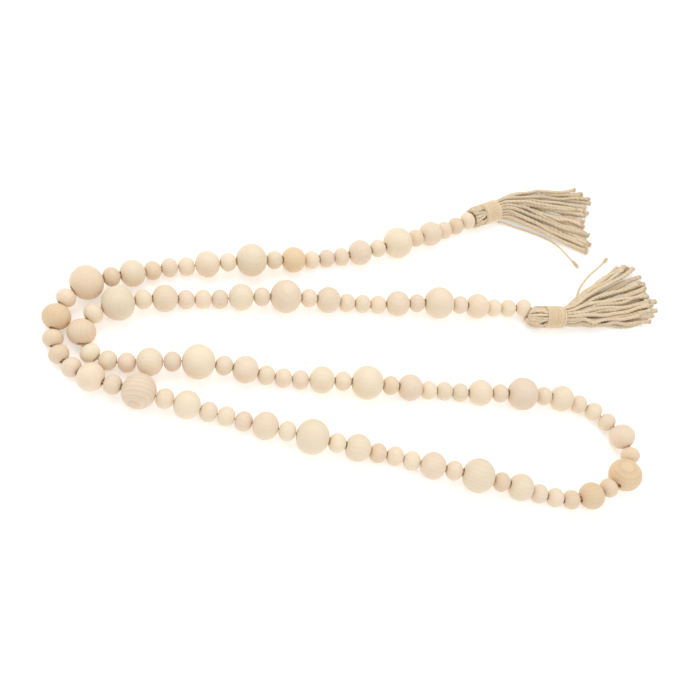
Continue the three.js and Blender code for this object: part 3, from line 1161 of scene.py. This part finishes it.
@dataclass(frozen=True)
class Fan:
    """The loose strands of a tassel, which leave its neck, spread out and come down to rest.

    Headings and lengths are given from the right side of the fan to the left. A place along a
    strand is a share of its length.
    """

    neck: Neck
    leave: Pair  # headings of the outer strands as they leave the neck
    spread: Pair  # headings of their tips from the hub
    lengths: tuple[float, ...]
    yarn: Yarn = STRAND_YARN
    rows: tuple[int, ...] = (4, 5, 6, 7, 6, 5, 4)  # strands in the neck, from below
    pitch: float = 0.00185
    row_rise: float = 0.0016
    buried: float = 0.001  # how far under the wrap a strand starts
    neck_share: float = 0.6  # of the neck, for which a strand runs straight
    control: float = 0.023  # how far a strand keeps its first heading
    knots: tuple[float, ...] = (0.06, 0.2, 0.34, 0.48, 0.62, 0.76, 0.88, 1.0)
    settle: Pair = (0.2, 0.85)
    cut: Pair = (-0.005, 0.002)  # how unevenly the strands are cut
    sway: float = 0.0007
    sway_grows: float = 0.3
    sway_lift: float = 0.4
    swell: float = 0.16  # of the bundle as it leaves the wrap
    swell_at: float = 0.06
    swell_reach: float = 0.08
    line_points: int = 120
    steps: int = 64
    turns: float = 8.0
    squeezed: float = 0.74  # width in the neck
    full: float = 1.08
    opens: Pair = (0.14, 0.14)  # where a strand widens, and over how much
    flare: float = 0.3
    flares: Pair = (0.92, 0.08)
    shades: Pair = (0.84, 1.0)
    frayed: float = 1.3  # width of a frayed tip
    fray_hairs: int = 30
    fray_length: float = 0.0036
    fuzz_from: int = 16
    fuzz_hairs: int = 14

    def strands(self) -> list[Strand]:
        """Sorts the neck's strands into layers and spreads each layer over the fan.

        Returns:
            The strands, layer by layer from below.
        """
        middle = (len(self.rows) - 1) / 2
        found = []
        for layer in Layer:
            members = [
                ((n - (self.rows[row] - 1) / 2) * self.pitch, row)
                for row in layer.value.rows for n in range(self.rows[row])
            ]
            for n, (side, row) in enumerate(sorted(members)):
                rise = (row - middle) * self.row_rise
                found.append(Strand(side, rise, (n + 0.5) / len(members), layer))
        return found

    def length(self, share: float) -> float:
        """Works out how far the strands reach from the hub at one place in the fan.

        Args:
            share: the place, from 0 at the right side to 1 at the left.

        Returns:
            The length.
        """
        at = share * (len(self.lengths) - 1)
        k = min(len(self.lengths) - 2, int(at))
        return mix(self.lengths[k], self.lengths[k + 1], at - k)

    def height(self, strand: Strand, t: float) -> float:
        """Works out how high a strand lies at a place along it.

        Args:
            strand: the strand.
            t: the place.

        Returns:
            The height.
        """
        low, high = self.settle
        swell = 1 + self.swell * math.exp(-((t - self.swell_at) / self.swell_reach) ** 2)
        leaves = self.neck.height + strand.rise * swell
        return mix(leaves, strand.layer.value.height, smooth((t - low) / (high - low)))

    def line(self, strand: Strand, rng: random.Random) -> list[Vector]:
        """Leads a strand out of the neck, into the fan and down to where it rests.

        Args:
            strand: the strand.
            rng: for its sway and its cut length.

        Returns:
            Close points along it.
        """
        neck, settled = self.neck, strand.layer.value
        left = neck.left()
        inside = neck.place(neck.head_length + self.buried) + left * strand.side
        inside.z += strand.rise
        hub = neck.place(neck.head_length + neck.length + neck.root_length)
        start = hub + left * strand.side
        bend = start + heading(mix(*self.leave, strand.share)) * self.control
        reach = self.length(strand.share) - settled.shorter + rng.uniform(*self.cut)
        lands = min(1.0, max(0.0, strand.share + rng.gauss(0, settled.stray)))
        tip = hub + heading(mix(*self.spread, lands)) * reach
        points = [inside, inside + neck.axis() * (neck.length * self.neck_share)]
        for t in self.knots:
            at = start * (1 - t) ** 2 + bend * (2 * t * (1 - t)) + tip * t ** 2
            sway = self.sway * smooth(t / self.sway_grows)
            at += left * rng.gauss(0, sway)
            at.z = self.height(strand, t) + abs(rng.gauss(0, sway * self.sway_lift))
            points.append(at)
        return spline(points, self.line_points)

    def width(self, t: float) -> float:
        """How wide a strand is at a place along it, against its own radius."""
        opened, flared = (smooth((t - at) / over) for at, over in (self.opens, self.flares))
        return mix(self.squeezed, self.full, opened) + self.flare * flared

    def build(self, name: str, seed: int, material: bpy.types.Material) -> bpy.types.Object:
        """Lays the strands, frays their tips and lets some hairs stray.

        Args:
            name: the piece's name.
            seed: for everything uneven.
            material: the finish.

        Returns:
            The fan.
        """
        bundle = Bundle(seed)
        straight = self.yarn.straight(self.steps, self.turns)
        for strand in self.strands():
            stations = stations_on(self.line(strand, bundle.rng), self.steps)
            bundle.lay(straight, stations, self.width, bundle.rng.uniform(*self.shades))
            way = (stations[-1].point - stations[-3].point).normalized()
            tip_radius = self.yarn.radius * self.frayed
            bundle.fray(stations[-1], way, tip_radius, self.fray_hairs, self.fray_length)
            bundle.fuzz(stations[self.fuzz_from:], self.yarn.radius, self.fuzz_hairs)
        bpy.data.meshes.remove(straight)
        return bundle.finish(name, material)


@dataclass(frozen=True)
class Wrap:
    """The turns of cord that bind a tassel's neck, with both ends tucked under."""

    neck: Neck
    yarn: Yarn = Yarn(0.00047, 2, 6, 0.0026, 0.78)
    radius: float = 0.0069
    pitch: float = 0.00098
    turns: int = 14
    uneven: float = 0.00009
    tuck: Pair = (0.0007, 0.25)  # how deep an end goes, and over how many turns
    taper: Pair = (0.0003, 1.5)
    points_a_turn: int = 48
    steps_a_turn: int = 136
    shade: float = 0.97
    hairs: int = 60

    def sunk(self, depth: float, over: float, turn: float) -> float:
        """How far the cord sinks in at a turn, for a depth that it has at both ends."""
        return depth * (2 - smooth(turn / over) - smooth((self.turns - turn) / over))

    def build(self, name: str, seed: int, material: bpy.types.Material) -> bpy.types.Object:
        """Winds the cord.

        Args:
            name: the piece's name.
            seed: for everything uneven.
            material: the finish.

        Returns:
            The wrap.
        """
        bundle = Bundle(seed)
        wobble = [bundle.rng.gauss(0, self.uneven) for _ in range(self.turns + 2)]
        line = []
        for n in range(self.turns * self.points_a_turn + 1):
            turn = n / self.points_a_turn
            k = int(turn)
            drift = mix(wobble[k], wobble[k + 1], smooth(turn - k))
            along = self.neck.head_length + self.pitch * turn + drift
            out = self.radius - self.sunk(*self.tuck, turn) - self.sunk(*self.taper, turn)
            line.append(self.neck.place(along, out, 2 * math.pi * turn))
        stations = bundle.lay_long(self.yarn, line, self.turns, self.steps_a_turn, self.shade)
        bundle.fuzz(stations, self.yarn.radius, self.hairs)
        return bundle.finish(name, material)


@dataclass(frozen=True)
class LooseEnd:
    """The loose end of the cord that binds a neck, with a frayed tip."""

    route: list[Triple]
    yarn: Yarn = Yarn(0.00075, 2, 8, 0.0042, 0.8)
    line_points: int = 150
    steps: int = 120
    shade: float = 0.98
    fray_places: tuple[float, ...] = (0.0, 0.0012, 0.0024, 0.0038)  # back from the tip
    fray_hairs: int = 26
    fray_length: float = 0.0052
    fuzz_hairs: int = 24

    def build_tip(self, name: str, seed: int, stations: Sequence[Station],
                  material: bpy.types.Material) -> bpy.types.Object:
        """Frays the tip and lets some hairs stray along the cord.

        Args:
            name: the piece's name.
            seed: for everything uneven.
            stations: the cord's path.
            material: the finish.

        Returns:
            The hairs as one piece.
        """
        brush = Bundle(seed)
        end = stations[-1]
        way = (end.point - stations[-2].point).normalized()
        for back in self.fray_places:
            tip = Station(end.point - way * back, end.side, end.up)
            brush.fray(tip, way, self.yarn.radius, self.fray_hairs, self.fray_length)
        brush.fuzz(stations, self.yarn.radius, self.fuzz_hairs)
        return brush.finish(name, material)

    def build(self, name: str, seed: int, material: bpy.types.Material) -> list[bpy.types.Object]:
        """Lays the cord and adds its tip.

        Args:
            name: the name of the frame's node, which the pieces' names start with.
            seed: for everything uneven.
            material: the finish.

        Returns:
            The cord and its tip.
        """
        line = spline([Vector(point) for point in self.route], self.line_points)
        length = length_of(line)
        stations = stations_on(line, self.steps)
        bundle = Bundle(seed)
        straight = self.yarn.straight(self.steps, length / self.yarn.turn)
        bundle.lay(straight, stations, full_width, self.shade)
        bpy.data.meshes.remove(straight)
        cord = bundle.finish(f"{name}_cord", material)
        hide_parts(name)
        tip = self.build_tip(f"{name}_tip", seed + 1, stations, material)
        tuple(self.route[0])
        return [cord, tip]


@dataclass(frozen=True)
class Tassel:
    """A tassel of folded jute yarn: its head, loose strands, bound neck and the cord's end."""

    name: str
    seed: int
    head: Head
    fan: Fan
    wrap: Wrap
    loose_end: LooseEnd

    def build(self, yarn: bpy.types.Material, twine: bpy.types.Material) -> list[bpy.types.Object]:
        """Makes the tassel's pieces.

        Args:
            yarn: the finish of its strands.
            twine: the finish of the binding cord.

        Returns:
            The pieces.
        """
        head = self.head.build(f"tassel_{self.name}_head", self.seed, yarn)
        strands = self.fan.build(f"tassel_{self.name}_strands", self.seed + 1, yarn)
        for piece in (head, strands):
            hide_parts(f"tassel_{self.name}")
        wrap = self.wrap.build(f"tassel_{self.name}_wrap", self.seed + 2, twine)
        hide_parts(f"neck_wrap_{self.name}")
        loose_end = self.loose_end.build(f"loose_end_{self.name}", self.seed + 3, twine)
        return [head, strands, wrap, *loose_end]


# The string


@dataclass(frozen=True)
class Twine:
    """The twine that the beads are strung on, held by them all the way."""

    beads: list[Bead]
    necks: tuple[Neck, Neck]
    yarn: Yarn = Yarn(0.00062, 2, 6, 0.0062)
    anchor: float = 0.009  # of the knots from the top of each head
    line_points: int = 1500
    parts: int = 20
    steps: int = 85
    shade: float = 0.9
    seed: int = 71

    def line(self) -> list[Vector]:
        """Leads the twine from knot to knot, through every bead.

        Returns:
            Close points along it.
        """
        first, last = self.beads[0], self.beads[-1]
        knots = [neck.place(self.anchor) for neck in self.necks]
        rim = first.kind.value.rim(first.hole)
        points = [knots[0], first.centre - first.axis * rim]
        for a, b in zip(self.beads, self.beads[1:]):
            leaves = a.centre + a.axis * a.kind.value.rim(a.hole)
            enters = b.centre - b.axis * b.kind.value.rim(b.hole)
            points.append((leaves + enters) / 2)
        points += [last.centre + last.axis * rim, knots[1]]
        return spline(points, self.line_points)

    def build(self, material: bpy.types.Material) -> bpy.types.Object:
        """Lays the twine through the beads.

        Args:
            material: the finish.

        Returns:
            The twine.
        """
        bundle = Bundle(self.seed)
        bundle.lay_long(self.yarn, self.line(), self.parts, self.steps, self.shade)
        piece = bundle.finish("stringing_twine", material)
        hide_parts("twine")
        return piece


# Floor, light and camera


@dataclass(frozen=True)
class SoftLight:
    """A soft square light that faces the garland."""

    name: str
    place: Triple
    size: float
    power: float  # in watts
    colour: Triple

    def build(self) -> None:
        """Hangs the light."""
        data = bpy.data.lights.new(self.name, "AREA")
        data.size, data.energy, data.color = self.size, self.power, self.colour
        light = bpy.data.objects.new(self.name, data)
        light.location = Vector(self.place)
        light.rotation_euler = (-light.location).to_track_quat("-Z", "Y").to_euler()
        bpy.context.scene.collection.objects.link(light)


@dataclass(frozen=True)
class Studio:
    """A pale floor, soft light and a camera at the photographed angle."""

    eye: Triple = (-0.134, -0.298, 0.46025)
    azimuth: float = 23.29  # of the view's direction, from +Y towards +X
    elevation: float = 57.77
    roll: float = 26.98
    focal_px: float = 900.0
    frame_px: float = 700.0
    sensor_mm: float = 36.0
    floor: FloorFinish = FloorFinish()
    floor_half: float = 4.0
    floor_drop: float = 0.00005
    lights: tuple[SoftLight, ...] = (
        SoftLight("key", (-0.35, 0.55, 1.1), 1.1, 8.0, (1.0, 1.0, 0.99)),
        SoftLight("fill", (0.7, -0.8, 0.9), 1.4, 4.0, (0.98, 0.99, 1.0)),
    )
    room_colour: Colour = (0.98, 0.99, 1.0, 1.0)
    room_strength: float = 0.72

    def build_camera(self) -> None:
        """Sets the camera."""
        azimuth, elevation, roll = map(math.radians, (self.azimuth, self.elevation, self.roll))
        view = Vector((math.sin(azimuth) * math.cos(elevation),
                       math.cos(azimuth) * math.cos(elevation), -math.sin(elevation)))
        level = Vector((math.cos(azimuth), -math.sin(azimuth), 0))
        right = Matrix.Rotation(-roll, 3, view) @ level
        turn = Matrix((right, right.cross(view), -view)).transposed()
        data = bpy.data.cameras.new("camera")
        data.sensor_width = self.sensor_mm
        data.lens = self.focal_px / self.frame_px * self.sensor_mm
        camera = bpy.data.objects.new("camera", data)
        camera.matrix_world = Matrix.Translation(self.eye) @ turn.to_4x4()
        bpy.context.scene.collection.objects.link(camera)
        bpy.context.scene.camera = camera

    def build_floor(self) -> None:
        """Lays the floor just under the garland."""
        bm = bmesh.new()
        bmesh.ops.create_grid(bm, x_segments=1, y_segments=1, size=self.floor_half)
        bmesh.ops.translate(bm, verts=bm.verts, vec=(0, 0, -self.floor_drop))
        mesh = bpy.data.meshes.new("floor")
        bm.to_mesh(mesh)
        bm.free()
        mesh.materials.append(self.floor.material())
        floor = bpy.data.objects.new("floor", mesh)
        bpy.context.scene.collection.objects.link(floor)

    def build_room(self) -> None:
        """Fills the room with pale light, shown as it is."""
        world = bpy.data.worlds.new("soft_room")
        world.use_nodes = True
        background = world.node_tree.nodes["Background"]
        background.inputs["Color"].default_value = self.room_colour
        background.inputs["Strength"].default_value = self.room_strength
        bpy.context.scene.world = world
        bpy.context.scene.view_settings.view_transform = "Standard"
        bpy.context.scene.view_settings.look = "None"

    def build(self) -> None:
        """Sets up everything round the garland."""
        self.build_camera()
        self.build_floor()
        for light in self.lights:
            light.build()
        self.build_room()


def main() -> None:
    """Builds the garland round its frame, piece by piece."""
    logging.basicConfig(level=logging.INFO, format="%(name)s: %(message)s")
    Studio().build()
    yarn = JuteFinish("jute_yarn").material()
    # The twine's grooves get less painted shade than the yarn's.
    twine = JuteFinish("jute_twine", groove_shade=0.18, bump=0.00005).material()
    beads = BeadString().place()
    neck_a = Neck(wrap_start=(0.0706, 0.0821), heading=30)
    neck_b = Neck(wrap_start=(0.1079, 0.0065), heading=8)
    fan_a = Fan(neck_a, leave=(-14, 45), spread=(-20, 26),
                lengths=(0.066, 0.069, 0.067, 0.065, 0.071, 0.078, 0.073))
    fan_b = Fan(neck_b, leave=(5, 50), spread=(5, 47),
                lengths=(0.0615, 0.072, 0.075, 0.073, 0.0765, 0.078, 0.071))
    head_a = Head(neck_a, beads[0], overhang=0.0)
    head_b = Head(neck_b, beads[-1], overhang=0.002)
    tassels = [
        Tassel("a", 21, head_a, fan_a, Wrap(neck_a), LooseEnd(TAIL_A)),
        Tassel("b", 42, head_b, fan_b, Wrap(neck_b), LooseEnd(TAIL_B)),
    ]
    pieces = [piece for tassel in tassels for piece in tassel.build(yarn, twine)]
    pieces.append(Twine(beads, (neck_a, neck_b)).build(twine))
    pieces += Beads(beads, WoodFinish()).build()
    for piece in pieces:
        log.info("%s has %d faces", piece.name, len(piece.data.polygons))


if __name__ == "__main__":
    main()
